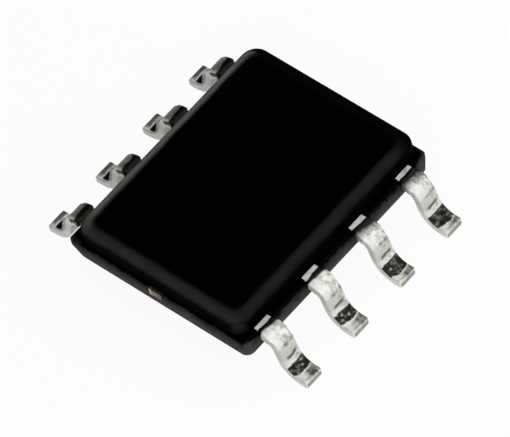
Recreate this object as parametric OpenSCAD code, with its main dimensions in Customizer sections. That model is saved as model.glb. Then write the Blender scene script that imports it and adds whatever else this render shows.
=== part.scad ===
// Clock generator chip in an eight-lead gull-wing small-outline package.
// Millimetres. X runs across the two lead rows, Y along them and Z up from the board.
// The origin lies on the board, midway between the rows and midway along them.

/* [Package body] */
// Length along the lead rows, over the parting belt
body_l = 4.92; // [4.80:0.01:5.00]
// Width between the lead rows, over the parting belt
body_w = 4.00; // [3.90:0.01:4.04]
// Height of the top face above the board
body_top = 1.34; // [1.32:0.01:1.50]
// Gap between the board and the flat base
standoff = 0.10; // [0.08:0.01:0.20]
// Height of the parting belt's lower edge, along the underside of the lead frame's sheet
parting_z = 0.79; // [0.76:0.01:0.84]
// Width of the parting belt's ledge along the lead sides
side_ledge = 0.07; // [0.04:0.01:0.10]
// Width of the parting belt's ledge along the ends
end_ledge = 0.025; // [0.015:0.005:0.060]
// Draw-in of the upper half's lead sides, from the ledge up to the edge bevel
side_draw = 0.010; // [0.006:0.002:0.030]
// Draw-in of the upper half's ends, from the ledge up to the edge bevel
end_draw = 0.010; // [0.006:0.002:0.030]
// Draw-in of the lower half, from the belt down to the base bevel
base_draw = 0.06; // [0.02:0.01:0.10]
// Width of the bevel round the top face
bevel_w = 0.22; // [0.15:0.01:0.30]
// Height of the bevel round the top face
bevel_h = 0.09; // [0.05:0.01:0.15]
// Width of the bevel round the base
base_bevel_w = 0.28; // [0.15:0.01:0.35]
// Height of the bevel round the base
base_bevel_h = 0.31; // [0.20:0.01:0.35]
// Corner radius in plan of the parting belt
parting_corner_r = 0.06; // [0.03:0.01:0.15]
// Corner radius in plan of the upper half, from the ledge up to the edge bevel
bevel_corner_r = 0.30; // [0.15:0.01:0.40]
// Corner radius in plan of the top face
top_corner_r = 0.16; // [0.10:0.01:0.30]
// Corner radius in plan at the upper edge of the base bevel
lower_corner_r = 0.16; // [0.08:0.01:0.30]
// Corner radius in plan of the base
base_corner_r = 0.12; // [0.05:0.01:0.25]
// Diameter of the ejector pin's mark in the base
ejector_d = 0.90; // [0.50:0.05:1.20]
// Depth of the ejector pin's mark
ejector_depth = 0.03; // [0.01:0.01:0.05]

/* [Leads] */
// Pitch of the leads along a row
lead_pitch = 1.27; // [1.25:0.01:1.30]
// Span across the tips of the two rows
lead_span = 5.96; // [5.90:0.01:6.20]
// Thickness of the lead frame's sheet
sheet_t = 0.15; // [0.12:0.01:0.20]
// Width of a lead along its leg and foot
lead_w = 0.41; // [0.38:0.01:0.46]
// Width of a lead where it leaves the belt
neck_w = 0.37; // [0.30:0.01:0.38]
// Length of the narrow neck outside the belt
neck_l = 0.10; // [0.08:0.01:0.14]
// Width across the trimmed dam bar stubs
dam_w = 0.44; // [0.42:0.01:0.55]
// Length of the dam bar stubs along the lead, in plan
dam_l = 0.18; // [0.12:0.01:0.22]
// Flat run between the belt and the shoulder bend
shoulder_run = 0.09; // [0.05:0.01:0.12]
// Inside radius of the shoulder bend
shoulder_r = 0.25; // [0.18:0.01:0.28]
// Slope of the leg away from upright, in degrees
leg_angle = 12; // [8:1:20]
// Inside radius of the foot bend
foot_r = 0.34; // [0.25:0.01:0.38]
// Corner radius of the trimmed tip, in plan
tip_r = 0.05; // [0.03:0.01:0.10]

/* [Lead fingers inside the body] */
// Distance from the middle of the body to a finger's inner end
finger_x = 1.27; // [1.20:0.01:1.35]
// Width of a finger at its bonding end
finger_w = 0.52; // [0.40:0.01:0.60]
// Length of a finger's bonding end
finger_l = 0.26; // [0.20:0.01:0.30]
// Length of the straight root just inside the body wall
root_l = 0.22; // [0.15:0.01:0.30]
// Shift of the four corner fingers towards the middle of the row
finger_lean = 0.30; // [0.10:0.01:0.40]

/* [Die paddle] */
// Width of the paddle across the lead rows
paddle_w = 2.20; // [1.80:0.05:2.30]
// Length of the paddle along the lead rows
paddle_l = 3.00; // [2.60:0.05:3.20]
// Depth that the paddle is pressed below the leads
downset = 0.22; // [0.15:0.01:0.28]
// Width of the tie bar at each end of the paddle
tie_w = 0.28; // [0.20:0.01:0.40]
// Height that a trimmed tie bar stands out of the end face
tie_stub = 0.02; // [0.01:0.01:0.05]
// Length of tie bar that runs on into the paddle
tie_root = 0.20; // [0.10:0.05:0.40]
// Slope of the tie bar's rise from the paddle to the leads' level, in degrees
jog_slope = 45; // [30:5:60]

/* [Die and wires] */
// Width of the die across the lead rows
die_w = 1.30; // [1.00:0.05:1.60]
// Length of the die along the lead rows
die_l = 1.70; // [1.50:0.05:2.00]
// Thickness of the die
die_t = 0.25; // [0.20:0.01:0.30]
// Thickness of the die attach layer
attach_t = 0.02; // [0.01:0.01:0.04]
// Margin of the die attach layer beyond the die
attach_margin = 0.05; // [0.02:0.01:0.10]
// Pitch of the bond pads along the die's edges
pad_pitch = 0.45; // [0.30:0.01:0.48]
// Distance of a bond pad's centre from the die's edge
pad_inset = 0.08; // [0.06:0.01:0.15]
// Diameter of the bond wire
wire_d = 0.03; // [0.02:0.005:0.05]
// Diameter of the ball bond on the die
ball_d = 0.08; // [0.06:0.005:0.10]
// Height of the ball bond
ball_h = 0.02; // [0.010:0.005:0.030]
// Radius of the wire's bend above the ball, at its middle line
wire_bend_r = 0.06; // [0.04:0.01:0.08]
// Slope of the wire down to the finger, in degrees
wire_slope = 15; // [12:1:17]
// Distance of the stitch bond from the finger's inner end
stitch_in = 0.13; // [0.10:0.01:0.16]

/* [Hidden] */

$fn = 64;
leads = 8;
per_side = leads / 2;
corner_steps = 6;

// Heights through the lead frame
sheet_low = parting_z;
sheet_mid = sheet_low + sheet_t / 2;
sheet_high = sheet_low + sheet_t;
paddle_high = sheet_high - downset;
die_low = paddle_high + attach_t;
die_high = die_low + die_t;

// Levels of the body's plan outline: half width, half length, corner radius and height.
// The belt between the leads is as thick as their sheet.
upper_x = body_w / 2 - side_ledge;
upper_y = body_l / 2 - end_ledge;
bevel_x = upper_x - side_draw;
bevel_y = upper_y - end_draw;
lower_x = body_w / 2 - base_draw;
lower_y = body_l / 2 - base_draw;
body_levels = [
    [lower_x - base_bevel_w, lower_y - base_bevel_w, base_corner_r, standoff],
    [lower_x, lower_y, lower_corner_r, standoff + base_bevel_h],
    [body_w / 2, body_l / 2, parting_corner_r, sheet_low],
    [body_w / 2, body_l / 2, parting_corner_r, sheet_high],
    [upper_x, upper_y, bevel_corner_r, sheet_high],
    [bevel_x, bevel_y, bevel_corner_r, body_top - bevel_h],
    [bevel_x - bevel_w, bevel_y - bevel_w, top_corner_r, body_top]
];

// Side profile of a lead, along the middle of its sheet
tip_x = lead_span / 2;
bend_x = body_w / 2 + shoulder_run;
leg_turn = 90 - leg_angle;
shoulder_mid_r = shoulder_r + sheet_t / 2;
foot_mid_r = foot_r + sheet_t / 2;
leg_start = [bend_x + shoulder_mid_r * sin(leg_turn), sheet_mid - shoulder_mid_r * (1 - cos(leg_turn))];
leg_drop = leg_start[1] - sheet_t / 2 - foot_mid_r * (1 - cos(leg_turn));
leg_l = leg_drop / sin(leg_turn);
foot_x = leg_start[0] + leg_l * cos(leg_turn) + foot_mid_r * sin(leg_turn);

// Cut that reaches past any bend, and slab that is wider and taller than any lead
reach = 2 * (shoulder_mid_r + foot_mid_r);
slab_w = 2 * (dam_w + finger_w + finger_lean);
slab_h = body_top + sheet_t;

// Side of the body (-1 or 1), place along the row and finger's lean for each lead
function side_of(i) = i <= per_side ? -1 : 1;
function row_of(i) = i <= per_side ? (per_side + 1) / 2 - i : i - per_side - (per_side + 1) / 2;
function at_corner(i) = abs(row_of(i)) > per_side / 2 - 1;
function lean_of(i) = at_corner(i) ? -sign(row_of(i)) * finger_lean : 0;

// Bond pad on the die and stitch bond on the finger, in plan, for each lead
function pad_of(i) = [side_of(i) * (die_w / 2 - pad_inset), row_of(i) * pad_pitch];
function stitch_of(i) = [side_of(i) * (finger_x + stitch_in), row_of(i) * lead_pitch + lean_of(i)];

// Corner centre signs and outline of a rectangle with rounded corners at a height
function corner_of(q) = [q == 0 || q == 3 ? 1 : -1, q < 2 ? 1 : -1];
function outline(half_x, half_y, r, z) = [
    for (q = [0:3])
        for (k = [0:corner_steps])
            let (a = 90 * (q + k / corner_steps), s = corner_of(q))
            [s[0] * (half_x - r) + r * cos(a), s[1] * (half_y - r) + r * sin(a), z]
];

// Solid lofted through a list of rounded rectangles, from the lowest to the highest
module loft(levels) {
    count = 4 * (corner_steps + 1);
    last = len(levels) - 1;
    points = [for (v = levels) each outline(v[0], v[1], v[2], v[3])];
    walls = [
        for (j = [0:last - 1])
            for (k = [0:count - 1])
                let (low = j * count, high = low + count, next = (k + 1) % count)
                [low + k, high + k, high + next, low + next]
    ];
    base_cap = [for (k = [0:count - 1]) k];
    top_cap = [for (k = [count - 1:-1:0]) last * count + k];
    polyhedron(points, concat([base_cap], walls, [top_cap]));
}

// Straight run of the sheet in side view, with what follows it at its end
module run(length) {
    translate([0, -sheet_t / 2])
        square([length, sheet_t]);
    translate([length, 0])
        children();
}

// Bend of the sheet in side view, up for a positive turn, with what follows it at its end
module bend(mid_r, turn) {
    centre = sign(turn) * mid_r;
    translate([0, centre]) {
        intersection() {
            difference() {
                circle(mid_r + sheet_t / 2);
                circle(mid_r - sheet_t / 2);
            }
            translate([0, -reach])
                square([reach, 2 * reach]);
            rotate(turn)
                translate([-reach, -reach])
                    square([reach, 2 * reach]);
        }
        rotate(turn)
            translate([0, -centre])
                children();
    }
}

// Side view of a lead: flat finger, shoulder bend, leg, foot bend and flat foot
module lead_side() {
    translate([finger_x, sheet_mid])
        run(bend_x - finger_x)
            bend(shoulder_mid_r, -leg_turn)
                run(leg_l)
                    bend(foot_mid_r, leg_turn)
                        run(tip_x - foot_x);
}

// Top view of a lead, with its finger's bonding end moved sideways by lean
module lead_plan(lean) {
    bond_x = finger_x + finger_l;
    root_x = body_w / 2 - root_l;
    dam_x = body_w / 2 + neck_l;
    far_x = tip_x - tip_r;
    edge = [
        [finger_x, finger_w / 2, lean],
        [bond_x, finger_w / 2, lean],
        [root_x, neck_w / 2, 0],
        [dam_x, neck_w / 2, 0],
        [dam_x, dam_w / 2, 0],
        [dam_x + dam_l, dam_w / 2, 0],
        [dam_x + dam_l, lead_w / 2, 0],
        [far_x, lead_w / 2, 0]
    ];
    polygon(concat(
        [for (e = edge) [e[0], e[2] - e[1]]],
        [for (k = [len(edge) - 1:-1:0]) [edge[k][0], edge[k][2] + edge[k][1]]]
    ));
    translate([far_x, tip_r - lead_w / 2])
        square([tip_r, lead_w - 2 * tip_r]);
    for (s = [-1, 1])
        translate([far_x, s * (lead_w / 2 - tip_r)])
            circle(tip_r);
}

// One formed lead: the side view and the top view cut from the same sheet
module lead(i) {
    color([0.80, 0.80, 0.77])
        translate([0, row_of(i) * lead_pitch, 0])
            mirror([side_of(i) < 0 ? 1 : 0, 0, 0])
                intersection() {
                    translate([0, slab_w / 2, 0])
                        rotate([90, 0, 0])
                            linear_extrude(slab_w)
                                lead_side();
                    translate([0, 0, -sheet_t])
                        linear_extrude(slab_h)
                            lead_plan(lean_of(i));
                }
}

// Tie bar in side view: out from the paddle, up the downset and out through the end face
module tie_side() {
    jog_low = paddle_l / 2;
    jog_high = jog_low + downset / tan(jog_slope);
    lag = sheet_t * tan(jog_slope / 2);
    end_x = body_l / 2 + tie_stub;
    polygon([
        [jog_low - tie_root, paddle_high - sheet_t],
        [jog_low - tie_root, paddle_high],
        [jog_low, paddle_high],
        [jog_high, sheet_high],
        [end_x, sheet_high],
        [end_x, sheet_low],
        [jog_high + lag, sheet_low],
        [jog_low + lag, paddle_high - sheet_t]
    ]);
}

// Pressed die paddle with a tie bar at each end
module die_paddle() {
    color([0.72, 0.45, 0.25]) {
        translate([-paddle_w / 2, -paddle_l / 2, paddle_high - sheet_t])
            cube([paddle_w, paddle_l, sheet_t]);
        for (turn = [0, 180])
            rotate([0, 0, turn])
                translate([-tie_w / 2, 0, 0])
                    rotate([90, 0, 90])
                        linear_extrude(tie_w)
                            tie_side();
    }
}

// Layer of die attach between the paddle and the die
module die_attach() {
    attach_w = die_w + 2 * attach_margin;
    attach_l = die_l + 2 * attach_margin;
    color([0.75, 0.75, 0.78])
        translate([-attach_w / 2, -attach_l / 2, paddle_high])
            cube([attach_w, attach_l, attach_t]);
}

// Sawn silicon die
module silicon_die() {
    color([0.30, 0.32, 0.38])
        translate([-die_w / 2, -die_l / 2, die_low])
            cube([die_w, die_l, die_t]);
}

// One bond wire: ball on the die, upright neck, bend and run down to the finger's stitch bond
module bond_wire(i) {
    pad = pad_of(i);
    way = stitch_of(i) - pad;
    drop = die_high - sheet_high;
    slope_x = norm(way) - wire_bend_r * (1 + sin(wire_slope));
    neck_top = slope_x * tan(wire_slope) - drop - wire_bend_r * cos(wire_slope);
    wire_l = slope_x / cos(wire_slope) + wire_d / sin(wire_slope);
    color([0.90, 0.72, 0.30])
        difference() {
            translate([pad[0], pad[1], die_high])
                rotate([0, 0, atan2(way[1], way[0])]) {
                    cylinder(h = ball_h, d = ball_d);
                    cylinder(h = neck_top, d = wire_d);
                    translate([wire_bend_r, 0, neck_top])
                        rotate([90, 0, 0])
                            rotate([0, 0, 90 - wire_slope]) {
                                rotate_extrude(angle = 90 + wire_slope)
                                    translate([wire_bend_r, 0])
                                        circle(d = wire_d);
                                translate([wire_bend_r, 0, 0])
                                    rotate([90, 0, 0])
                                        cylinder(h = wire_l, d = wire_d);
                            }
                }
            translate([-body_w / 2, -body_l / 2, sheet_low])
                cube([body_w, body_l, sheet_t]);
        }
}

// Moulded body, which closes on everything that it holds
module package_body() {
    color([0.06, 0.06, 0.065])
        difference() {
            loft(body_levels);
            translate([0, 0, standoff - ejector_depth])
                cylinder(h = 2 * ejector_depth, d = ejector_d);
            die_paddle();
            die_attach();
            silicon_die();
            for (i = [1:leads]) {
                lead(i);
                bond_wire(i);
            }
        }
}

package_body();
die_paddle();
die_attach();
silicon_die();
for (i = [1:leads]) lead(i);
for (i = [1:leads]) bond_wire(i);
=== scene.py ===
import math
from collections import namedtuple

import bmesh
import bpy
from bpy.props import FloatProperty, FloatVectorProperty, PointerProperty
from mathutils import Matrix, Vector


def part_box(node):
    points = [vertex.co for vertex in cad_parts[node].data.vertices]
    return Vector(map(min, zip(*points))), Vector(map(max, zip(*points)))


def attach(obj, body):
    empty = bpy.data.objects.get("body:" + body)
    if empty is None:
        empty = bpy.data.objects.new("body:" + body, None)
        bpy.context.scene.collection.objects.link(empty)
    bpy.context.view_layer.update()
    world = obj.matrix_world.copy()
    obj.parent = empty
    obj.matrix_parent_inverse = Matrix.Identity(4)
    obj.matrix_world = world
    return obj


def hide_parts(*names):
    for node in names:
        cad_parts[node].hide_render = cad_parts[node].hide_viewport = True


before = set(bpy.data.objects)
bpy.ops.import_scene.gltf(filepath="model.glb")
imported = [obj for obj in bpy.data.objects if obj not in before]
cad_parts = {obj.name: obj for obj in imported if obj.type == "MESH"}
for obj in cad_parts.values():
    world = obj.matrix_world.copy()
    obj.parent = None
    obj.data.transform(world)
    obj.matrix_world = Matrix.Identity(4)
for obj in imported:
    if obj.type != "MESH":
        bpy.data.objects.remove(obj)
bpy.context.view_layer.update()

bl_info = {
    "name": "Gull-wing chip",
    "version": (1, 0, 0),
    "blender": (4, 5, 0),
    "location": "View3D > Sidebar > Chip",
    "description": "Makes a moulded gull-wing chip's body and leads, their finishes and a studio stage",
    "category": "Object",
}

MM = 0.001
ROOT = "root"
IMAGE_WIDTH = 510
BODY_NODE = "package_body"
LEAD_NODES = ["lead_%d" % number for number in range(1, 9)]
WIRE_NODES = ["bond_wire_%d" % number for number in range(1, 9)]
BODY_LOW, BODY_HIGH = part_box(BODY_NODE)
TIP_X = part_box(LEAD_NODES[-1])[1].x

# Corners of a lead's path, as the inputs of its geometry nodes name them.
PATH_CORNERS = ("Finger end", "Shoulder corner", "Foot corner", "Tip")

# Steps of the meshes' curves, the largest share of a face that a soft edge takes from one side,
# and the angles past which an edge stays sharp.
CORNER_STEPS = 14
SOFT_STEPS = 5
MOST_SOFT = 0.45
SECTION_STEPS = 4
BEND_STEPS = 18
TIP_STEPS = 6
ROLL_STEPS = 4
PATH_STEPS = 48
FLOOR_STEPS = 64
BODY_SMOOTH = math.radians(30)
LEAD_SMOOTH = math.radians(35)

# Places on the body's profile, counted in levels from the base.
BASE_EDGE = 1
BEVEL_EDGE = 5

# Distances along Y, in millimetres, between which the body's sides turn into its ends.
END_FROM = 2.15
END_TO = 2.40

# Limits between which most of a noise lies.
NOISE_LOW = 0.3
NOISE_HIGH = 0.7

# How the epoxy and the tin mirror, and how much of a sheared tip shows bare metal.
EPOXY_SPECULAR = 0.006
TIN_METALLIC = 0.6
MATTE_SHARE = 0.25
MARK_AND_SHADE_ROUGHNESS = 0.30
BARE_SHARE = 0.8

# Each lamp's name, direction, distance, width and height in millimetres, and radiance.
SOFT_BOXES = (
    ("key_box", Vector((0.57, 0.30, 0.73)), 70, 130, 100, 1.25),
    ("front_box", Vector((0.50, -0.60, 0.62)), 110, 60, 60, 2.6),
    ("back_box", Vector((-0.47, 0.37, 0.80)), 70, 16, 60, 2.1),
)
ALONG_CHIP = Vector((0, 1, 0))


def length(name, millimetres, description):
    """A size in the sidebar, written here in millimetres."""
    return FloatProperty(name=name, description=description, default=millimetres * MM,
                         min=0.0, unit="LENGTH", precision=5)


def angle(name, degrees, description):
    """An angle in the sidebar, written here in degrees."""
    return FloatProperty(name=name, description=description, default=math.radians(degrees),
                         subtype="ANGLE")


def plain(name, value, description):
    """A plain number in the sidebar."""
    return FloatProperty(name=name, description=description, default=value, min=0.0)


def colour(name, value, description):
    """A colour in the sidebar."""
    return FloatVectorProperty(name=name, description=description, default=value,
                               size=3, min=0.0, max=1.0, subtype="COLOR")


class BodySizes(bpy.types.PropertyGroup):
    """Sizes of the moulded body."""
    parting_z: length("Parting height", 0.79, "Height of the parting belt's lower edge")
    belt_drop: length("Belt shrinkage", 0.006, "Drop of the belt's top below the leads' upper face")
    right_ledge: length("Right ledge", 0.07, "Width of the belt's ledge along the right lead side")
    left_ledge: length("Left ledge", 0.125, "Width of the belt's ledge along the left lead side")
    end_ledge: length("End ledge", 0.025, "Width of the belt's ledge along the ends")
    side_draw: length("Side draw", 0.010, "Draw-in of the upper half's lead sides")
    end_draw: length("End draw", 0.010, "Draw-in of the upper half's ends")
    base_side_draw: length("Base side draw", 0.033, "Draw-in of the lower half's lead sides")
    base_end_draw: length("Base end draw", 0.06, "Draw-in of the lower half's ends")
    bevel_w: length("Bevel width", 0.22, "Width of the bevel round the top face")
    bevel_h: length("Bevel height", 0.09, "Height of the bevel round the top face")
    base_bevel_w: length("Base bevel width", 0.28, "Width of the bevel round the base")
    base_bevel_h: length("Base bevel height", 0.31, "Height of the bevel round the base")
    parting_corner_r: length("Belt corner", 0.06, "Corner radius in plan of the parting belt")
    bevel_corner_r: length("Upper corner", 0.30, "Corner radius in plan of the upper half")
    top_corner_r: length("Top corner", 0.16, "Corner radius in plan of the top face")
    lower_corner_r: length("Lower corner", 0.16, "Corner radius in plan over the base bevel")
    base_corner_r: length("Base corner", 0.12, "Corner radius in plan of the base")
    gate_corner_r: length("Gate corner", 0.02, "Radius in plan of the back right corner, by the gate")
    mould_shift: length("Mould shift", 0.018, "Shift of both mould halves to the back, against the belt")
    ejector_d: length("Ejector mark", 0.90, "Diameter of the ejector pin's mark in the base")
    ejector_depth: length("Ejector depth", 0.03, "Depth of the ejector pin's mark")
    soft_edge: length("Soft edge", 0.05, "Length over which the mould's broad edges are rounded")
    crisp_edge: length("Crisp edge", 0.012, "Length over which the belt's edges are rounded")


class LeadSizes(bpy.types.PropertyGroup):
    """Sizes of the formed leads."""
    sheet_t: length("Sheet thickness", 0.15, "Thickness of the lead frame's sheet")
    lead_w: length("Lead width", 0.41, "Width of the leg and foot")
    neck_w: length("Neck width", 0.37, "Width where a lead leaves the body")
    neck_l: length("Neck length", 0.10, "Length of the narrow neck outside the body")
    dam_w: length("Dam bar width", 0.44, "Width across the trimmed dam bar stubs")
    dam_l: length("Dam bar length", 0.18, "Length of the dam bar stubs, in plan")
    shoulder_run: length("Shoulder run", 0.09, "Flat run between the body and the shoulder bend")
    shoulder_r: length("Shoulder radius", 0.25, "Inside radius of the shoulder bend")
    leg_angle: angle("Leg slope", 12, "Slope of the leg away from upright")
    foot_r: length("Foot radius", 0.34, "Inside radius of the foot bend")
    tip_r: length("Tip radius", 0.03, "Corner radius of the trimmed tip, in plan")
    finger_x: length("Finger reach", 1.27, "Distance from the middle to a finger's inner end")
    finger_w: length("Finger width", 0.52, "Width of a finger's bonding end")
    finger_l: length("Finger length", 0.26, "Length of a finger's bonding end")
    root_l: length("Root length", 0.22, "Straight root just inside the body's wall")
    finger_lean: length("Finger lean", 0.30, "Shift of the corner fingers towards the middle")
    roll_r: length("Rolled edge", 0.025, "Radius of the edges that the punch drew over")
    tip_roll: length("Tip roll-over", 0.05, "Drop of the upper edge that the shear drew over at the tip")
    tip_run: length("Tip run", 0.04, "Length over which the tip's upper edge drops")
    burr_r: length("Burr edge", 0.010, "Radius of the edges on the burr side")


class Finishes(bpy.types.PropertyGroup):
    """Colours of the finishes."""
    epoxy: colour("Epoxy", (0.0004, 0.0004, 0.0005), "Moulded epoxy of the top and upper sides")
    # Painted sheen: these two greys stand for the light that the bevels reflect, the left bevel the most.
    epoxy_rubbed: colour("Bevel sheen", (0.016, 0.016, 0.016), "Painted sheen on the bevels")
    epoxy_worn: colour("Left bevel sheen", (0.165, 0.165, 0.165), "Painted sheen on the left bevel, the lightest")
    # Painted reflection: the lower half's grey stands for the floor that it reflects.
    epoxy_lower: colour("Lower epoxy", (0.11, 0.11, 0.11), "Painted floor reflection on the lower mould half")
    tin: colour("Tin", (0.90, 0.905, 0.855), "Bright tin plating")
    tin_shade: colour("Dull tin", (0.34, 0.34, 0.29), "Duller patches of the plating")
    # Painted shade on the far row's upper faces.
    tarnish: colour("Tarnish", (0.12, 0.118, 0.09), "Painted shade on the far row's plating")
    # Dark tool streaks and marks, and painted dark reflections and shade in the foot bends, next to the
    # body and on the far row's dam bar stubs.
    burnish: colour("Burnish", (0.010, 0.0105, 0.0075), "Dark marks, and painted dark reflections and shade")
    sheared: colour("Sheared end", (0.27, 0.26, 0.22), "Sheared metal of the lead tips")
    copper: colour("Copper", (0.15, 0.125, 0.046), "Bare, tarnished copper alloy of the lead frame")
    silicon: colour("Silicon", (0.10, 0.11, 0.14), "Polished silicon of the die")
    die_block: colour("Die block", (0.16, 0.15, 0.20), "Blocks of the die's circuit")
    die_line: colour("Die line", (0.30, 0.29, 0.26), "Lines between the die's blocks")
    silver: colour("Silver epoxy", (0.62, 0.62, 0.64), "Silver-filled die attach")
    gold: colour("Gold", (0.92, 0.66, 0.22), "Drawn gold of the bond wires")


class StudioSettings(bpy.types.PropertyGroup):
    """Camera, floor and room."""
    azimuth: angle("Azimuth", 51.90, "Camera's turn round the chip, from straight in front")
    elevation: angle("Elevation", 53.10, "Camera's height above the board")
    roll: angle("Roll", -14.44, "Camera's roll about its line of sight")
    distance: length("Distance", 134.8, "Camera's distance from the chip")
    pixels_per_mm: plain("Image scale", 57.70, "Pixels of the photograph for each millimetre")
    aim_right: FloatProperty(name="Aim right", default=0.0997 * MM, unit="LENGTH", precision=5,
                             description="Shift of the aim to the right of the chip's middle")
    aim_up: FloatProperty(name="Aim up", default=-0.2387 * MM, unit="LENGTH", precision=5,
                          description="Shift of the aim above the chip's middle")
    aim_height: length("Aim height", 0.65, "Height of the chip's middle above the board")
    floor_r: length("Floor radius", 200, "Radius of the white floor")
    floor_paper: colour("Floor", (0.9, 0.9, 0.9), "Paper of the white floor")
    floor_white: FloatProperty(name="Floor glow", default=0.94, min=0.0, max=1.0, subtype="FACTOR",
                               description="Share of the floor's white that no shadow takes away")
    floor_mirrored: FloatProperty(name="Mirrored floor", default=0.5, min=0.0, max=1.0, subtype="FACTOR",
                                  description="That share for the floor as the metal mirrors it")
    room: plain("Room", 0.05, "Brightness of the dark room round the set")


class Graph:
    """Adds nodes to a node tree and joins them up."""

    def __init__(self, tree):
        self.tree = tree

    def feed(self, socket, value):
        if isinstance(value, bpy.types.NodeSocket):
            self.tree.links.new(value, socket)
        else:
            socket.default_value = value

    def add(self, kind, inputs=None, **settings):
        node = self.tree.nodes.new(kind)
        for key, value in settings.items():
            setattr(node, key, value)
        for key, value in (inputs or {}).items():
            self.feed(node.inputs[key], value)
        return node

    def math(self, operation, first, second=0.0):
        node = self.add("ShaderNodeMath", {0: first, 1: second}, operation=operation)
        return node.outputs[0]

    def vector_math(self, operation, first, second):
        node = self.add("ShaderNodeVectorMath", {0: first, 1: second}, operation=operation)
        return node.outputs[0]

    def mix(self, factor, first, second):
        node = self.add("ShaderNodeMix", {0: factor, 6: first, 7: second}, data_type="RGBA")
        return node.outputs[2]

    def plus(self, first, second):
        return self.math("ADD", first, second)

    def minus(self, first, second):
        return self.math("SUBTRACT", first, second)

    def rest(self, mask):
        """What a mask leaves of one."""
        return self.math("SUBTRACT", 1.0, mask)

    def parts(self, vector):
        """A vector's X, Y and Z."""
        return self.add("ShaderNodeSeparateXYZ", {0: vector}).outputs

    def scaled(self, vector, scale):
        node = self.add("ShaderNodeVectorMath", {0: vector, "Scale": scale}, operation="SCALE")
        return node.outputs[0]

    def times(self, first, *others):
        for other in others:
            first = self.math("MULTIPLY", first, other)
        return first

    def most(self, first, *others):
        for other in others:
            first = self.math("MAXIMUM", first, other)
        return first

    def least(self, first, *others):
        for other in others:
            first = self.math("MINIMUM", first, other)
        return first

    def span(self, value, low, high, to_low, to_high):
        node = self.add("ShaderNodeMapRange", {"Value": value, "From Min": low, "From Max": high,
                                               "To Min": to_low, "To Max": to_high})
        return node.outputs[0]

    def rise(self, value, low, high):
        """A mask that comes in between two limits."""
        return self.span(value, low, high, 0.0, 1.0)

    def fall(self, value, low, high):
        """A mask that goes out between two limits."""
        return self.span(value, low, high, 1.0, 0.0)

    def share(self, mask, none, full):
        """A value for no mask and one for a full mask."""
        return self.span(mask, 0.0, 1.0, none, full)

    def spread(self, speckle, low, high):
        """Noise brought between two limits."""
        return self.span(speckle, NOISE_LOW, NOISE_HIGH, low, high)


def rgba(value):
    """A colour with full alpha, for a node's socket."""
    return (*value, 1.0)


def new_material(name):
    """A material with a Principled shader, its graph and that shader."""
    material = bpy.data.materials.new(name)
    material.use_nodes = True
    shader = material.node_tree.nodes["Principled BSDF"]
    return material, Graph(material.node_tree), shader


def object_mm(graph):
    """Object coordinates in millimetres."""
    source = graph.add("ShaderNodeTexCoord").outputs["Object"]
    mapping = graph.add("ShaderNodeMapping", {"Vector": source, "Scale": (1 / MM,) * 3})
    return mapping.outputs[0]


def noise(graph, where, scale, detail=3.0, roughness=0.55):
    """Smooth noise with this many cells for each millimetre."""
    node = graph.add("ShaderNodeTexNoise", {"Vector": where, "Scale": scale, "Detail": detail,
                                            "Roughness": roughness})
    return node.outputs["Fac"]


def bump(graph, height, depth, strength):
    """A bump of this depth in millimetres."""
    node = graph.add("ShaderNodeBump", {"Height": height, "Distance": depth * MM,
                                        "Strength": strength})
    return node.outputs[0]


def attribute(graph, name, output="Fac"):
    """A value that the mesh carries."""
    return graph.add("ShaderNodeAttribute", attribute_name=name).outputs[output]


def stripe(graph, value, middle, half, soft):
    """One within half a width of the middle, and nothing past a soft edge."""
    away = graph.math("ABSOLUTE", graph.minus(value, middle))
    return graph.fall(away, half, half + soft)


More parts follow.
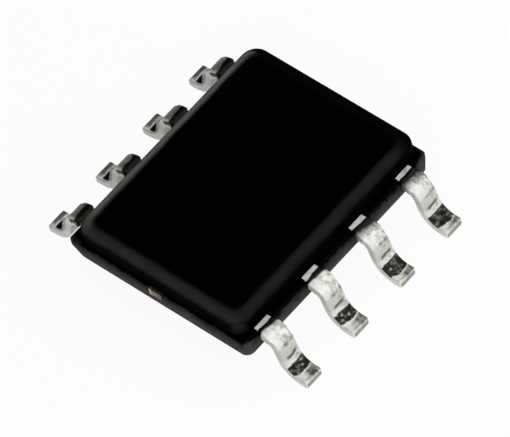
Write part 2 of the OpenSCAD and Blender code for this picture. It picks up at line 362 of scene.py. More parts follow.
def epoxy_finish(finishes):
    """Black moulding compound: a fine filler grain, with painted sheen on the bevels and down the upper
    corners, and a painted grey on the lower half for the floor's reflection.
    """
    material, graph, shader = new_material("moulded_epoxy")
    where = object_mm(graph)
    grain = noise(graph, where, 38.0, 4.0, 0.7)
    cloud = noise(graph, where, 2.2, 3.0)
    lower_edge_noise = noise(graph, where, 6.0, 3.0, 0.65)
    place = graph.plus(attribute(graph, "profile"), graph.spread(cloud, -0.06, 0.06))
    x, y, _ = graph.parts(where)
    wide, long = graph.math("ABSOLUTE", x), graph.math("ABSOLUTE", y)
    front = graph.fall(y, -END_TO, -END_FROM)
    # The painted grey of the floor's reflection on the lower half fades out above its edge, more slowly
    # round the ends.
    fade = graph.math("DIVIDE", graph.minus(place, BASE_EDGE),
                      graph.span(long, END_FROM, END_TO, 1.1, 2.6))
    lower = graph.fall(graph.plus(fade, graph.spread(lower_edge_noise, -0.2, 0.2)), 0.0, 1.0)
    # Painted sheen: the left bevel gets the lightest, apart from its front end, and the back end gets
    # hardly any.
    left = graph.times(graph.fall(x, -1.695, -1.565), graph.span(y, -2.30, -1.80, 0.20, 0.95),
                       graph.fall(y, 2.22, 2.34))
    bevel_end = graph.share(left, BEVEL_EDGE + 0.75, BEVEL_EDGE + 0.45)
    bevel = graph.times(graph.rise(place, BEVEL_EDGE - 0.15, BEVEL_EDGE + 0.30),
                        graph.fall(graph.minus(place, bevel_end), 0.0, 0.45))
    # Painted highlight down the rounded corners of the upper half, from the belt to just over the bevel's
    # edge.
    corner = graph.minus(graph.plus(wide, long), graph.math("CEIL", left))
    ridge = graph.times(graph.span(corner, 4.09, 4.17, 0.0, 0.9),
                        graph.rise(place, BEVEL_EDGE - 0.9, BEVEL_EDGE - 0.2),
                        graph.fall(place, BEVEL_EDGE + 0.2, BEVEL_EDGE + 0.5))
    sheen_reach = graph.most(graph.span(y, 1.8, 2.3, 1.0, 0.06), left)
    bevel_and_corner_sheen = graph.times(graph.most(bevel, ridge), sheen_reach)
    # The left bevel, and a little of the front, get the lighter painted sheen colour.
    sheen_blend = graph.plus(left, graph.times(front, 0.14))
    sheen_colour = graph.mix(sheen_blend, rgba(finishes.epoxy_rubbed), rgba(finishes.epoxy_worn))
    base = graph.mix(lower, graph.mix(bevel_and_corner_sheen, rgba(finishes.epoxy), sheen_colour), rgba(finishes.epoxy_lower))
    tone = graph.times(graph.span(grain, 0.35, 0.75, 0.72, 1.35), graph.spread(cloud, 0.85, 1.15))
    graph.feed(shader.inputs["Base Color"], graph.scaled(base, tone))
    graph.feed(shader.inputs["Roughness"], graph.spread(grain, 0.52, 0.66))
    shader.inputs["Specular IOR Level"].default_value = EPOXY_SPECULAR
    graph.feed(shader.inputs["Normal"], bump(graph, grain, 0.003, 0.5))
    return material


class LeadSpot:
    """Where a point lies on a lead's flat blank, with the blank's main lengths, all in millimetres."""

    def __init__(self, graph, path):
        blank = attribute(graph, "blank", "Vector")
        self.number = attribute(graph, "number")
        self.far_row = attribute(graph, "far_row")
        self.near_row = graph.rest(self.far_row)
        # Each lead has its own part of the noise.
        self.where = graph.vector_math("ADD", blank, graph.scaled((0.0, 7.3, 3.1), self.number))
        along, self.across, self.through = graph.parts(blank)
        self.spangle = noise(graph, self.where, 9.0, 3.0, 0.6)
        self.grain = noise(graph, self.where, 24.0, 3.0, 0.6)
        self.waver = graph.spread(noise(graph, self.where, 3.5, 2.0), -0.02, 0.02)
        self.place = graph.plus(along, self.waver)
        self.upper = graph.rise(self.through, 0.045, 0.07)
        self.back_pair = graph.rise(self.number, 5.0, 6.0)
        belt = (BODY_HIGH.x - path.start) / MM
        self.bend, self.leg, self.foot, self.tip = (
            u / MM for u in (path.shoulder_u, path.leg_u, path.bend_u, path.tip_u))
        self.root = graph.times(graph.fall(self.place, belt + 0.020, belt + 0.032),
                                self.near_row, self.upper)


def neck_band(graph, spot):
    """Painted dark band round a neck, for the dark reflection and shade next to the body, with a wide
    soft edge on the near row's back pair.
    """
    reach = graph.minus(spot.place, graph.times(spot.across, 0.15))
    ragged = graph.plus(reach, graph.spread(spot.grain, -0.03, 0.03))
    wide = graph.share(spot.far_row, graph.share(spot.back_pair, 0.015, 0.05), 0.09)
    core = graph.span(graph.minus(reach, wide), spot.bend, spot.bend + 0.03, 0.976, 0.0)
    halo = graph.span(ragged, spot.bend + 0.05, spot.bend + 0.19, 0.85, 0.0)
    halo = graph.times(graph.math("POWER", halo, 0.6), spot.back_pair)
    return graph.times(graph.rest(spot.root), graph.most(core, halo))


def tool_streaks(graph, spot):
    """Two streaks that the forming tool drew across a leg: a broken one on top, a clear one below."""
    top = graph.times(stripe(graph, spot.place, spot.leg - 0.045, 0.015, 0.02),
                      graph.span(spot.across, -0.12, -0.02, 0.0, 0.6),
                      graph.span(spot.spangle, 0.42, 0.60, 1.0, 0.2))
    bottom = graph.times(stripe(graph, spot.place, spot.foot - 0.002, 0.022, 0.025),
                         stripe(graph, spot.across, 0.02, 0.10, 0.05), 0.72)
    return graph.most(top, bottom)


def foot_press(graph, spot):
    """Painted dark reflection in a foot bend, patchy, with painted lamp glints as small bright spots, and
    the length past it.
    """
    bow = graph.times(spot.across, graph.minus(graph.times(spot.across, 1.6), 0.12))
    ragged = graph.plus(spot.place, graph.spread(spot.spangle, -0.015, 0.015))
    end = graph.share(spot.back_pair, spot.foot + 0.45, spot.foot + 0.54)
    past = graph.minus(graph.plus(ragged, bow), end)
    # Painted lamp glints: small bright spots cut out of the dark reflection.
    cells = graph.add("ShaderNodeTexVoronoi", {"Vector": spot.where, "Scale": 11.0})
    shine = graph.parts(cells.outputs["Color"])[0]
    glint_dots = graph.times(graph.fall(cells.outputs["Distance"], 0.10, 0.45),
                       graph.math("POWER", graph.rise(shine, 0.35, 1.0), 2.0), 0.5)
    patches = graph.times(graph.span(spot.spangle, 0.50, 0.68, 1.0, 0.86),
                          graph.span(spot.grain, 0.40, 0.70, 1.0, 0.97))
    mark = graph.times(graph.rise(ragged, spot.foot + 0.165, spot.foot + 0.185),
                       graph.fall(past, 0.0, 0.03), graph.rest(glint_dots), patches)
    return mark, past


def foot_nick(graph, spot):
    """A painted dark reflection of the body, three-cornered, in a foot of the far row."""
    from_tip = graph.minus(spot.tip, spot.place)
    from_middle = graph.plus(from_tip, spot.across)
    return graph.least(graph.rise(from_tip, 0.140, 0.160), graph.rise(spot.across, -0.170, -0.150),
                       graph.fall(from_middle, 0.185, 0.205))


def tip_strip(graph, spot):
    """A dark strip along a tip, which fades towards the front edge and is fainter on the near row."""
    from_tip = graph.minus(spot.tip, spot.place)
    width = graph.share(spot.far_row, 0.055, 0.100)
    return graph.times(graph.fall(graph.minus(from_tip, width), 0.0, 0.025),
                       graph.rise(spot.across, -0.175, -0.075), graph.share(spot.far_row, 0.5, 0.8))


def foot_dirt(graph, spot, past_reflection):
    """Mottled darkening on a near foot past the dark reflection in its bend, on the half that is away
    from the front.
    """
    away = graph.rise(graph.plus(spot.across, graph.times(spot.waver, 3.0)), -0.09, 0.05)
    return graph.times(graph.rise(past_reflection, 0.03, 0.07), away,
                       graph.span(spot.spangle, 0.40, 0.60, 1.0, 0.75),
                       graph.share(spot.far_row, 0.88, 0.0))


def dam_cut(graph, spot, half_w):
    """Painted shade on the cut sides of a far lead's dam bar stubs, away from the burr."""
    return graph.times(graph.rise(graph.math("ABSOLUTE", spot.across), half_w + 0.002, half_w + 0.008),
                       graph.rise(spot.through, -0.03, 0.0), graph.share(spot.far_row, 0.0, 0.97))


def dullness(graph, spot):
    """How dull the plating is: a shoulder that is mottled away from its front edge, and a plain leg."""
    away = graph.span(graph.plus(spot.across, graph.times(spot.waver, 3.0)), -0.10, 0.08, 0.2, 1.0)
    mottle = graph.plus(graph.times(spot.spangle, 0.6), graph.times(spot.grain, 0.4))
    shoulder = graph.times(graph.span(mottle, 0.42, 0.56, 0.7, 0.0), away)
    leg = graph.times(graph.span(spot.place, spot.leg - 0.08, spot.leg - 0.03, 0.0, 0.28),
                      graph.fall(spot.place, spot.foot, spot.foot + 0.03))
    return graph.most(shoulder, leg)


def tarnished(graph, spot):
    """How much painted shade lies on the plating: on the far row's upper faces, less on its feet and
    front edges.
    """
    foot = graph.rise(spot.place, spot.foot + 0.165, spot.foot + 0.215)
    spared = graph.times(foot, graph.span(spot.number, 2.0, 3.0, 0.6, 0.9))
    return graph.times(spot.upper, spot.far_row, graph.span(spot.grain, 0.38, 0.62, 0.70, 1.0),
                       graph.rise(spot.across, -0.19, -0.13), graph.rest(spared))


def matte(graph, spot, half_w):
    """Where the near row's plating is matte: on the roots, and on the front sides of the shoulders."""
    side = graph.times(graph.fall(spot.across, 0.008 - half_w, 0.016 - half_w),
                       graph.fall(spot.place, spot.leg - 0.14, spot.leg - 0.02), spot.near_row)
    return graph.most(spot.root, side)


def tin_finish(finishes, path, lead_w):
    """Tin plating on a stamped lead: mottled flats, the forming tool's streaks, painted dark reflections
    and shade with painted lamp glints, and cut ends.
    """
    material, graph, shader = new_material("tinned_lead")
    spot = LeadSpot(graph, path)
    half_w = lead_w / 2 / MM
    bend_reflection, past_reflection = foot_press(graph, spot)
    foot_reflection = graph.share(spot.far_row, bend_reflection, foot_nick(graph, spot))
    marks = graph.most(tool_streaks(graph, spot), foot_reflection, tip_strip(graph, spot),
                       foot_dirt(graph, spot, past_reflection))
    # The darkest colour goes on tool streaks, tip strips and darkened feet, and as painted dark
    # reflections and shade in the foot bends, next to the body and on the far row's dam bar stubs.
    burnish = graph.most(graph.times(spot.upper, marks), neck_band(graph, spot),
                         dam_cut(graph, spot, half_w))
    plating = graph.mix(dullness(graph, spot), rgba(finishes.tin), rgba(finishes.tin_shade))
    # Painted shade on the far row's plating.
    shaded_plating = graph.mix(tarnished(graph, spot), plating, rgba(finishes.tarnish))
    marked = graph.mix(burnish, shaded_plating, rgba(finishes.burnish))
    cut = graph.mix(graph.times(attribute(graph, "cut"), BARE_SHARE), marked, rgba(finishes.sheared))
    graph.feed(shader.inputs["Base Color"], cut)
    metal = graph.times(graph.share(burnish, TIN_METALLIC, 1.0),
                        graph.share(matte(graph, spot, half_w), 1.0, MATTE_SHARE))
    graph.feed(shader.inputs["Metallic"], metal)
    rough = graph.share(burnish, graph.spread(spot.spangle, 0.60, 0.46), MARK_AND_SHADE_ROUGHNESS)
    graph.feed(shader.inputs["Roughness"], rough)
    height = graph.plus(graph.times(spot.spangle, 0.8), graph.times(spot.grain, 0.2))
    graph.feed(shader.inputs["Normal"], bump(graph, height, 0.02, 0.6))
    return material


def copper_finish(finishes, middle_z):
    """Bare stamped copper alloy, with a corner of each trimmed tie bar painted bright, for its sheared
    zone and the glint on it.
    """
    material, graph, shader = new_material("copper_paddle")
    where = object_mm(graph)
    x, _, z = graph.parts(where)
    # A corner of each end is painted bright, for a sheared zone and the glint on it: the lower left one,
    # as seen from the front.
    slant = graph.plus(graph.times(x, 0.83), graph.times(graph.minus(z, middle_z / MM), 0.56))
    stain = noise(graph, where, 9.0, 3.0)
    bright = graph.span(graph.plus(slant, graph.spread(stain, -0.04, 0.04)), -0.08, -0.02, 0.42, 0.0)
    graph.feed(shader.inputs["Base Color"], graph.mix(bright, rgba(finishes.copper), rgba(finishes.tin)))
    shader.inputs["Metallic"].default_value = 1.0
    graph.feed(shader.inputs["Roughness"], graph.spread(stain, 0.28, 0.46))
    graph.feed(shader.inputs["Normal"], bump(graph, stain, 0.004, 0.4))
    return material


def silicon_finish(finishes):
    """Polished die with the faint blocks of its circuit."""
    material, graph, shader = new_material("silicon")
    where = object_mm(graph)
    blocks = graph.add("ShaderNodeTexBrick", {
        "Vector": where, "Color1": rgba(finishes.silicon), "Color2": rgba(finishes.die_block),
        "Mortar": rgba(finishes.die_line), "Scale": 5.0, "Mortar Size": 0.012,
        "Brick Width": 0.7, "Row Height": 0.45})
    graph.feed(shader.inputs["Base Color"], blocks.outputs["Color"])
    graph.feed(shader.inputs["Roughness"], graph.spread(noise(graph, where, 6.0), 0.10, 0.22))
    shader.inputs["Metallic"].default_value = 0.4
    return material


def speckled_finish(name, value, metallic, scale, rough):
    """A finish with a fine mottle of its own colour, for the sealed-in pieces."""
    material, graph, shader = new_material(name)
    where = object_mm(graph)
    mottle = noise(graph, where, scale, 4.0, 0.65)
    darker = [0.7 * part for part in value]
    graph.feed(shader.inputs["Base Color"],
               graph.mix(graph.rise(mottle, 0.35, 0.65), rgba(darker), rgba(value)))
    graph.feed(shader.inputs["Roughness"], graph.spread(mottle, rough, rough + 0.15))
    graph.feed(shader.inputs["Normal"], bump(graph, mottle, 0.003, 0.4))
    shader.inputs["Metallic"].default_value = metallic
    return material


Level = namedtuple("Level", "half_x half_y shift_x shift_y gate_r corner_r z place soft")


def rounded_outline(level):
    """Points round a level's rounded rectangle, counterclockwise from the back right corner."""
    points = []
    for quarter, (sx, sy) in enumerate(((1, 1), (-1, 1), (-1, -1), (1, -1))):
        radius = level.corner_r if quarter else level.gate_r
        for step in range(CORNER_STEPS + 1):
            turn = math.pi / 2 * (quarter + step / CORNER_STEPS)
            x = sx * (level.half_x - radius) + radius * math.cos(turn)
            y = sy * (level.half_y - radius) + radius * math.sin(turn)
            points.append(Vector((x + level.shift_x, y + level.shift_y, level.z)))
    return points


def softened(levels):
    """Levels with each break between the ends turned into a short curve, as long as its soft length."""
    rows = [levels[0]]
    for before, here, after in zip(levels, levels[1:], levels[2:]):
        ends = []
        for other in (before, after):
            apart = math.hypot(other.half_x - here.half_x, other.z - here.z)
            share = min(MOST_SOFT, here.soft / apart)
            ends.append([h + share * (o - h) for o, h in zip(other, here)])
        for step in range(SOFT_STEPS + 1):
            f = step / SOFT_STEPS
            rows.append(Level(*((1 - f) ** 2 * s + 2 * f * (1 - f) * h + f * f * e
                                for s, h, e in zip(ends[0], here, ends[1]))))
    rows.append(levels[-1])
    return rows


def loft(bm, rings):
    """Joins closed rings of points, from the lowest to the highest, and returns their vertices."""
    made = [[bm.verts.new(point) for point in ring] for ring in rings]
    for low, high in zip(made, made[1:]):
        for k in range(len(low)):
            n = (k + 1) % len(low)
            bm.faces.new((low[k], low[n], high[n], high[k]))
    return made


def finished_mesh(bm, name, smooth_angle):
    """A mesh with smooth shading, apart from edges sharper than the angle."""
    bmesh.ops.recalc_face_normals(bm, faces=bm.faces)
    mesh = bpy.data.meshes.new(name)
    bm.to_mesh(mesh)
    bm.free()
    mesh.shade_smooth()
    mesh.set_sharp_from_angle(angle=smooth_angle)
    return mesh


def add_piece(name, mesh, material, slot, *nodes):
    """Puts a finished mesh in the scene as a piece that stands for these CAD nodes."""
    piece = bpy.data.objects.new(name, mesh)
    bpy.context.scene.collection.objects.link(piece)
    mesh.materials.clear()
    mesh.materials.append(material)
    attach(piece, ROOT)
    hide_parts(*nodes)


def body_levels(sizes, sheet_t):
    """The body's levels from the base to just inside the top's edge, each with its place in the list."""
    half_x, half_y = BODY_HIGH.x, BODY_HIGH.y
    upper_x, upper_y = half_x - (sizes.right_ledge + sizes.left_ledge) / 2, half_y - sizes.end_ledge
    aside = (sizes.left_ledge - sizes.right_ledge) / 2
    bevel_x, bevel_y = upper_x - sizes.side_draw, upper_y - sizes.end_draw
    top_x, top_y = bevel_x - sizes.bevel_w, bevel_y - sizes.bevel_w
    lower_x, lower_y = half_x - sizes.base_side_draw, half_y - sizes.base_end_draw
    base_x, base_y = lower_x - sizes.base_bevel_w, lower_y - sizes.base_bevel_w
    base, top = BODY_LOW.z, BODY_HIGH.z
    belt = sizes.parting_z + sheet_t - sizes.belt_drop
    inset = 3 * sizes.soft_edge
    soft, crisp = sizes.soft_edge, sizes.crisp_edge
    gate_r, belt_r, upper_r = sizes.gate_corner_r, sizes.parting_corner_r, sizes.bevel_corner_r
    top_r, base_r = sizes.top_corner_r, sizes.base_corner_r
    back = sizes.mould_shift
    shapes = [
        (base_x, base_y, 0.0, back, base_r, base_r, base, soft),
        (lower_x, lower_y, 0.0, back, gate_r, sizes.lower_corner_r, base + sizes.base_bevel_h, soft),
        (half_x, half_y, 0.0, 0.0, gate_r, belt_r, sizes.parting_z, crisp),
        (half_x, half_y, 0.0, 0.0, gate_r, belt_r, belt, crisp),
        (upper_x, upper_y, aside, back, upper_r, upper_r, belt, crisp),
        (bevel_x, bevel_y, aside, back, upper_r, upper_r, top - sizes.bevel_h, soft),
        (top_x, top_y, aside, back, top_r, top_r, top, soft),
        (top_x - inset, top_y - inset, aside, back, top_r, top_r, top, soft),
    ]
    return [Level(*shape[:7], float(place), shape[7]) for place, shape in enumerate(shapes)]


class CHIP_OT_body(bpy.types.Operator):
    """Make the moulded body with softened edges, a parting belt and an ejector mark"""
    bl_idname = "chip.body"
    bl_label = "Moulded body"

    def execute(self, context):
        sizes = context.scene.chip_body
        rows = softened(body_levels(sizes, context.scene.chip_leads.sheet_t))
        rings = [rounded_outline(row) for row in rows]
        count = len(rings[0])
        base = BODY_LOW.z
        turns = [math.pi / 4 + math.tau * (k - CORNER_STEPS / 2) / count for k in range(count)]
        mark = []
        for radius, z in ((sizes.ejector_d / 2 - sizes.ejector_depth / 2, base + sizes.ejector_depth),
                          (sizes.ejector_d / 2, base)):
            mark.append([Vector((radius * math.cos(turn), radius * math.sin(turn), z)) for turn in turns])
        bm = bmesh.new()
        made = loft(bm, mark + rings)
        bm.faces.new(reversed(made[0]))
        bm.faces.new(made[-1])
        mesh = finished_mesh(bm, BODY_NODE, BODY_SMOOTH)
        places = [0.0] * (2 * count) + [row.place for row in rows for _ in range(count)]
        mesh.attributes.new("profile", "FLOAT", "POINT").data.foreach_set("value", places)
        finish = epoxy_finish(context.scene.chip_finishes)
        add_piece("moulded_body", mesh, finish, "mould_epoxy", BODY_NODE)
        return {"FINISHED"}


class LeadPath:
    """Lengths along a lead's middle line, from the finger's inner end to the tip."""

    def __init__(self, body, lead):
        half = lead.sheet_t / 2
        turn = math.pi / 2 - lead.leg_angle
        self.shoulder_r, self.foot_r = lead.shoulder_r + half, lead.foot_r + half
        self.start = lead.finger_x
        self.bend_x = BODY_HIGH.x + lead.shoulder_run
        leg_x = self.bend_x + self.shoulder_r * math.sin(turn)
        middle_z = body.parting_z + half
        leg_top = middle_z - self.shoulder_r * (1 - math.cos(turn))
        leg_drop = leg_top - half - self.foot_r * (1 - math.cos(turn))
        leg_l = leg_drop / math.sin(turn)
        foot_x = leg_x + leg_drop / math.tan(turn) + self.foot_r * math.sin(turn)
        tangent = math.tan(turn / 2)
        self.corners = [
            Vector((self.start, 0.0, middle_z)),
            Vector((self.bend_x + self.shoulder_r * tangent, 0.0, middle_z)),
            Vector((foot_x - self.foot_r * tangent, 0.0, half)),
            Vector((TIP_X, 0.0, half)),
        ]
        self.shoulder_u = self.bend_x - self.start
        self.leg_u = self.shoulder_u + self.shoulder_r * turn
        self.bend_u = self.leg_u + leg_l
        self.foot_u = self.bend_u + self.foot_r * turn
        self.tip_u = self.foot_u + TIP_X - foot_x

    def along(self, x):
        """Length at a place x on the flat finger or in the shoulder bend."""
        past = x - self.bend_x
        if past <= 0:
            return x - self.start
        return self.shoulder_u + self.shoulder_r * math.asin(min(1.0, past / self.shoulder_r))


def lead_plan(path, lead, lean):
    """Length, half width and sideways shift down the flat blank of a lead."""
    wall_x = BODY_HIGH.x
    dam = path.along(wall_x + lead.neck_l)
    dam_end = path.along(wall_x + lead.neck_l + lead.dam_l)
    ease = lead.burr_r
    plan = [
        (0.0, lead.finger_w / 2, lean),
        (lead.finger_l, lead.finger_w / 2, lean),
        (wall_x - lead.root_l - path.start, lead.neck_w / 2, 0.0),
        (dam, lead.neck_w / 2, 0.0),
        (dam + ease, lead.dam_w / 2, 0.0),
        (dam_end, lead.dam_w / 2, 0.0),
        (dam_end + ease, lead.lead_w / 2, 0.0),
    ]
    for step in range(TIP_STEPS + 1):
        turn = math.pi / 2 * step / TIP_STEPS
        plan.append((path.tip_u - lead.tip_r * (1 - math.sin(turn)),
                     lead.lead_w / 2 - lead.tip_r * (1 - math.cos(turn)), 0.0))
    return plan


def plan_at(plan, u):
    """Half width and shift of the blank at a length."""
    for (u0, w0, y0), (u1, w1, y1) in zip(plan, plan[1:]):
        if u <= u1:
            f = (u - u0) / (u1 - u0)
            return w0 + f * (w1 - w0), y0 + f * (y1 - y0)
    return plan[-1][1], plan[-1][2]


def section(half_w, half_t, roll, burr):
    """Points round the sheet's section, with rolled upper edges and sharper lower ones."""
    points = []
    for quarter, (sy, sz, r) in enumerate(((1, 1, roll), (-1, 1, roll), (-1, -1, burr), (1, -1, burr))):
        for step in range(SECTION_STEPS + 1):
            turn = math.pi / 2 * (quarter + step / SECTION_STEPS)
            points.append((sy * (half_w - r) + r * math.cos(turn),
                           sz * (half_t - r) + r * math.sin(turn)))
    return points


def lead_blank(name, path, lead, lean, number, left):
    """The stamped blank of a lead, flat along X, with what its finish needs at each point."""
    plan = lead_plan(path, lead, lean)
    stations = {row[0] for row in plan}
    for low, high in ((path.shoulder_u, path.leg_u), (path.bend_u, path.foot_u)):
        stations |= {low + (high - low) * step / BEND_STEPS for step in range(BEND_STEPS + 1)}
    roll_start = path.tip_u - lead.tip_run
    stations |= {roll_start + lead.tip_run * math.sin(math.pi / 2 * step / ROLL_STEPS)
                 for step in range(ROLL_STEPS)}
    end = max(stations)
    bm = bmesh.new()
    rings, cuts = [], []
    for u in sorted(stations):
        half_w, shift = plan_at(plan, u)
        run = max(0.0, (u - roll_start) / lead.tip_run)
        drop = lead.tip_roll * (1 - math.sqrt(max(0.0, 1 - run * run)))
        ring = section(half_w, (lead.sheet_t - drop) / 2, lead.roll_r, lead.burr_r)
        rings.append([Vector((u, y + shift, h - drop / 2)) for y, h in ring])
        cuts += [1.0 if u == end else 0.0] * len(ring)
    made = loft(bm, rings)
    bm.faces.new(made[0])
    bm.faces.new(made[-1])
    mesh = finished_mesh(bm, name, LEAD_SMOOTH)
    count = len(mesh.vertices)
    for key, values in (("cut", cuts), ("number", [float(number)] * count),
                        ("far_row", [1.0 if left else 0.0] * count)):
        mesh.attributes.new(key, "FLOAT", "POINT").data.foreach_set("value", values)
    across = -1 if left else 1
    flat = mesh.attributes.new("blank", "FLOAT_VECTOR", "POINT")
    flat.data.foreach_set("vector", [part / MM for vertex in mesh.vertices
                                     for part in (vertex.co.x, across * vertex.co.y, vertex.co.z)])
    return mesh


def forming_tree():
    """Geometry nodes that bend a flat blank along a lead's path and set it in its row."""
    tree = bpy.data.node_groups.new("Formed lead", "GeometryNodeTree")
    sockets = {}
    for name, kind in (("Blank", "Geometry"), *((corner, "Vector") for corner in PATH_CORNERS),
                       ("Shoulder radius", "Float"), ("Foot radius", "Float"),
                       ("Row place", "Vector"), ("Turn", "Float"), ("Finish", "Material")):
        item = tree.interface.new_socket(name, in_out="INPUT", socket_type="NodeSocket" + kind)
        sockets[name] = item.identifier
    tree.interface.new_socket("Lead", in_out="OUTPUT", socket_type="NodeSocketGeometry")
    graph = Graph(tree)
    given = graph.add("NodeGroupInput").outputs
    index = graph.add("GeometryNodeInputIndex").outputs[0]
    corner = graph.add("GeometryNodeIndexSwitch", data_type="VECTOR")
    radius = graph.add("GeometryNodeIndexSwitch", data_type="FLOAT")
    for switch in (corner, radius):
        while len(switch.index_switch_items) < len(PATH_CORNERS):
            switch.index_switch_items.new()
        graph.feed(switch.inputs["Index"], index)
    for place, name in enumerate(PATH_CORNERS):
        graph.feed(corner.inputs[str(place)], given[name])
    for place, name in ((1, "Shoulder radius"), (2, "Foot radius")):
        graph.feed(radius.inputs[str(place)], given[name])
    line = graph.add("GeometryNodeMeshLine", {"Count": len(PATH_CORNERS)}).outputs[0]
    corners = graph.add("GeometryNodeSetPosition", {"Geometry": line, "Position": corner.outputs[0]})
    curve = graph.add("GeometryNodeMeshToCurve", {0: corners.outputs[0]}).outputs[0]
    path = graph.add("GeometryNodeFilletCurve", {"Curve": curve, "Count": PATH_STEPS,
                                                 "Radius": radius.outputs[0]}, mode="POLY").outputs[0]
    flat = graph.parts(graph.add("GeometryNodeInputPosition").outputs[0])
    sample = graph.add("GeometryNodeSampleCurve", {"Curves": path, "Length": flat["X"]}, mode="LENGTH")
    run = graph.parts(sample.outputs["Tangent"])
    upward = graph.add("ShaderNodeCombineXYZ", {"X": graph.times(run["Z"], -1.0), "Z": run["X"]})
    lift = graph.scaled(upward.outputs[0], flat["Z"])
    side = graph.add("ShaderNodeCombineXYZ", {"Y": flat["Y"]}).outputs[0]
    place = graph.vector_math("ADD", graph.vector_math("ADD", sample.outputs["Position"], lift), side)
    formed = graph.add("GeometryNodeSetPosition", {"Geometry": given["Blank"], "Position": place})
    spot = graph.add("GeometryNodePoints", {"Count": 1, "Position": given["Row place"]})
    turned = graph.add("ShaderNodeCombineXYZ", {"Z": given["Turn"]}).outputs[0]
    rowed = graph.add("GeometryNodeInstanceOnPoints", {"Points": spot.outputs[0],
                                                       "Instance": formed.outputs[0]})
    graph.feed(rowed.inputs["Rotation"], turned)
    real = graph.add("GeometryNodeRealizeInstances", {0: rowed.outputs[0]}).outputs[0]
    dressed = graph.add("GeometryNodeSetMaterial", {"Geometry": real, "Material": given["Finish"]})
    graph.feed(graph.add("NodeGroupOutput").inputs[0], dressed.outputs[0])
    return tree, sockets


def baked(source):
    """A plain mesh of what an object's modifiers make, with the object removed."""
    depsgraph = bpy.context.evaluated_depsgraph_get()
    mesh = bpy.data.meshes.new_from_object(source.evaluated_get(depsgraph), depsgraph=depsgraph)
    source.modifiers.clear()
    bpy.data.objects.remove(source)
    return mesh


def row_middle(node):
    """Place of a lead along its row: the middle of the part that is outside the body."""
    outside = [v.co.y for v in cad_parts[node].data.vertices if abs(v.co.x) > BODY_HIGH.x]
    return (min(outside) + max(outside)) / 2


class CHIP_OT_leads(bpy.types.Operator):
    """Make the eight leads: flat blanks, bent along the lead's path and set in two rows"""
    bl_idname = "chip.leads"
    bl_label = "Formed leads"

    def execute(self, context):
        scene = context.scene
        lead = scene.chip_leads
        path = LeadPath(scene.chip_body, lead)
        finish = tin_finish(scene.chip_finishes, path, lead.lead_w)
        tree, sockets = forming_tree()
        for number, node in enumerate(LEAD_NODES):
            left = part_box(node)[1].x < 0
            middle = row_middle(node)
            at_corner = abs(middle) > BODY_HIGH.y / 2
            lean = -math.copysign(lead.finger_lean, middle) if at_corner else 0.0
            blank = lead_blank("blank_" + node, path, lead, -lean if left else lean, number, left)
            source = bpy.data.objects.new("forming_" + node, blank)
            scene.collection.objects.link(source)
            form = source.modifiers.new("Forming", "NODES")
            form.node_group = tree
            for name, value in zip(PATH_CORNERS, path.corners):
                form[sockets[name]] = value
            form[sockets["Shoulder radius"]] = path.shoulder_r
            form[sockets["Foot radius"]] = path.foot_r
            form[sockets["Row place"]] = (0.0, middle, 0.0)
            form[sockets["Turn"]] = math.pi if left else 0.0
            form[sockets["Finish"]] = finish
            mesh = baked(source)
            mesh.name = "tinned_" + node
            add_piece("tinned_" + node, mesh, finish, "tinned_lead", node)
        return {"FINISHED"}


class CHIP_OT_inner(bpy.types.Operator):
    """Give the paddle, die, die attach and bond wires their finishes"""
    bl_idname = "chip.inner"
    bl_label = "Inner pieces"

    def execute(self, context):
        finishes = context.scene.chip_finishes
        gold = speckled_finish("gold_wire", finishes.gold, 1.0, 60.0, 0.18)
        tie_bar_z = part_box("die_paddle")[1].z - context.scene.chip_leads.sheet_t / 2
        dressing = {
            "die_paddle": copper_finish(finishes, tie_bar_z),
            "die_attach": speckled_finish("silver_epoxy", finishes.silver, 0.5, 45.0, 0.45),
            "silicon_die": silicon_finish(finishes),
        }
        dressing.update({node: gold for node in WIRE_NODES})
        for node, material in dressing.items():
            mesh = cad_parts[node].data
            mesh.materials.clear()
            mesh.materials.append(material)
        return {"FINISHED"}


def direction(azimuth, elevation):
    """Unit vector towards a place in the studio, by its turn from straight in front and its height."""
    flat = math.cos(elevation)
    return Vector((math.sin(azimuth) * flat, -math.cos(azimuth) * flat, math.sin(elevation)))


def soft_box(name, towards, away, width, height, radiance):
    """An area lamp of even radiance that faces the chip, with its height along the chip's length."""
    lamp = bpy.data.lights.new(name, "AREA")
    lamp.shape = "RECTANGLE"
    lamp.size, lamp.size_y = width * MM, height * MM
    lamp.energy = radiance * math.pi * lamp.size * lamp.size_y
    box = bpy.data.objects.new(name, lamp)
    bpy.context.scene.collection.objects.link(box)
    back = towards.normalized()
    side = ALONG_CHIP.cross(back).normalized()
    upright = back.cross(side)
    turned = Matrix((side, upright, back)).transposed().to_4x4()
    box.matrix_world = Matrix.Translation(away * MM * back) @ turned
    box.visible_camera = False


def studio_camera(studio):
    """A long lens at the photograph's angle, rolled as the photograph is."""
    camera = bpy.data.cameras.new("camera")
    holder = bpy.data.objects.new("camera", camera)
    bpy.context.scene.collection.objects.link(holder)
    back = direction(studio.azimuth, studio.elevation)
    right = Vector((math.cos(studio.azimuth), math.sin(studio.azimuth), 0.0))
    right = Matrix.Rotation(studio.roll, 3, back) @ right
    up = back.cross(right)
    aim = Vector((0, 0, studio.aim_height)) + studio.aim_right * right + studio.aim_up * up
    place = Matrix((right, up, back)).transposed().to_4x4()
    holder.matrix_world = Matrix.Translation(aim + studio.distance * back) @ place
    focal_pixels = studio.pixels_per_mm * studio.distance / MM
    camera.lens = camera.sensor_width * focal_pixels / IMAGE_WIDTH
    camera.clip_start, camera.clip_end = studio.distance / 100, studio.distance * 10
    bpy.context.scene.camera = holder


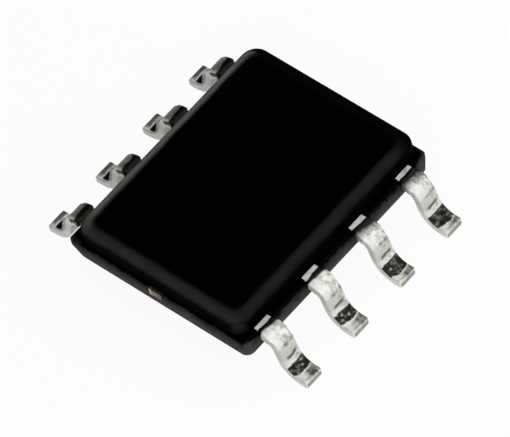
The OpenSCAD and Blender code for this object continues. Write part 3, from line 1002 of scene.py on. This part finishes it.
def floor_finish(studio):
    """White floor that keeps a soft shadow, and is clear from below."""
    material, graph, shader = new_material("white_floor")
    material.node_tree.nodes.remove(shader)
    light = graph.add("ShaderNodeLightPath").outputs
    mirrored = graph.most(light["Is Glossy Ray"], light["Is Transmission Ray"])
    share = graph.most(graph.times(light["Is Camera Ray"], studio.floor_white),
                       graph.times(mirrored, studio.floor_mirrored))
    paper = graph.add("ShaderNodeBsdfDiffuse", {"Color": rgba(studio.floor_paper)}).outputs[0]
    glow = graph.add("ShaderNodeEmission", {"Strength": 1.0}).outputs[0]
    clear = graph.add("ShaderNodeBsdfTransparent").outputs[0]
    under = graph.add("ShaderNodeNewGeometry").outputs["Backfacing"]
    white = graph.add("ShaderNodeMixShader", {0: share, 1: paper, 2: glow}).outputs[0]
    open_below = graph.add("ShaderNodeMixShader", {0: under, 1: white, 2: clear}).outputs[0]
    output = next(n for n in material.node_tree.nodes if n.type == "OUTPUT_MATERIAL")
    graph.feed(output.inputs["Surface"], open_below)
    return material


class CHIP_OT_stage(bpy.types.Operator):
    """Set the white floor, the soft boxes, the dim room and the camera"""
    bl_idname = "chip.stage"
    bl_label = "Studio stage"

    def execute(self, context):
        scene = context.scene
        studio = scene.chip_studio
        bm = bmesh.new()
        bmesh.ops.create_circle(bm, cap_ends=True, segments=FLOOR_STEPS, radius=studio.floor_r)
        mesh = bpy.data.meshes.new("floor")
        bm.to_mesh(mesh)
        bm.free()
        floor = bpy.data.objects.new("floor", mesh)
        scene.collection.objects.link(floor)
        mesh.materials.append(floor_finish(studio))
        for box in SOFT_BOXES:
            soft_box(*box)
        world = bpy.data.worlds.new("room")
        world.use_nodes = True
        room = world.node_tree.nodes["Background"]
        room.inputs["Color"].default_value = rgba((1.0, 1.0, 1.0))
        room.inputs["Strength"].default_value = studio.room
        scene.world = world
        scene.view_settings.view_transform = "Standard"
        studio_camera(studio)
        return {"FINISHED"}


OPERATORS = (CHIP_OT_stage, CHIP_OT_body, CHIP_OT_leads, CHIP_OT_inner)
GROUPS = {"chip_body": BodySizes, "chip_leads": LeadSizes,
          "chip_finishes": Finishes, "chip_studio": StudioSettings}


class CHIP_PT_sidebar(bpy.types.Panel):
    """Sizes, colours and operators of the chip"""
    bl_idname = "CHIP_PT_sidebar"
    bl_label = "Gull-wing chip"
    bl_space_type = "VIEW_3D"
    bl_region_type = "UI"
    bl_category = "Chip"

    def draw(self, context):
        for operator in OPERATORS:
            self.layout.operator(operator.bl_idname)
        for key, group in GROUPS.items():
            column = self.layout.box().column()
            column.label(text=group.__doc__)
            for name in group.__annotations__:
                column.prop(getattr(context.scene, key), name)


def register():
    for group in (*GROUPS.values(), *OPERATORS, CHIP_PT_sidebar):
        bpy.utils.register_class(group)
    for key, group in GROUPS.items():
        setattr(bpy.types.Scene, key, PointerProperty(type=group))


def unregister():
    for key in GROUPS:
        delattr(bpy.types.Scene, key)
    for group in reversed((*GROUPS.values(), *OPERATORS, CHIP_PT_sidebar)):
        bpy.utils.unregister_class(group)


def main():
    register()
    bpy.ops.chip.stage()
    bpy.ops.chip.body()
    bpy.ops.chip.leads()
    bpy.ops.chip.inner()


if __name__ == "__main__":
    main()
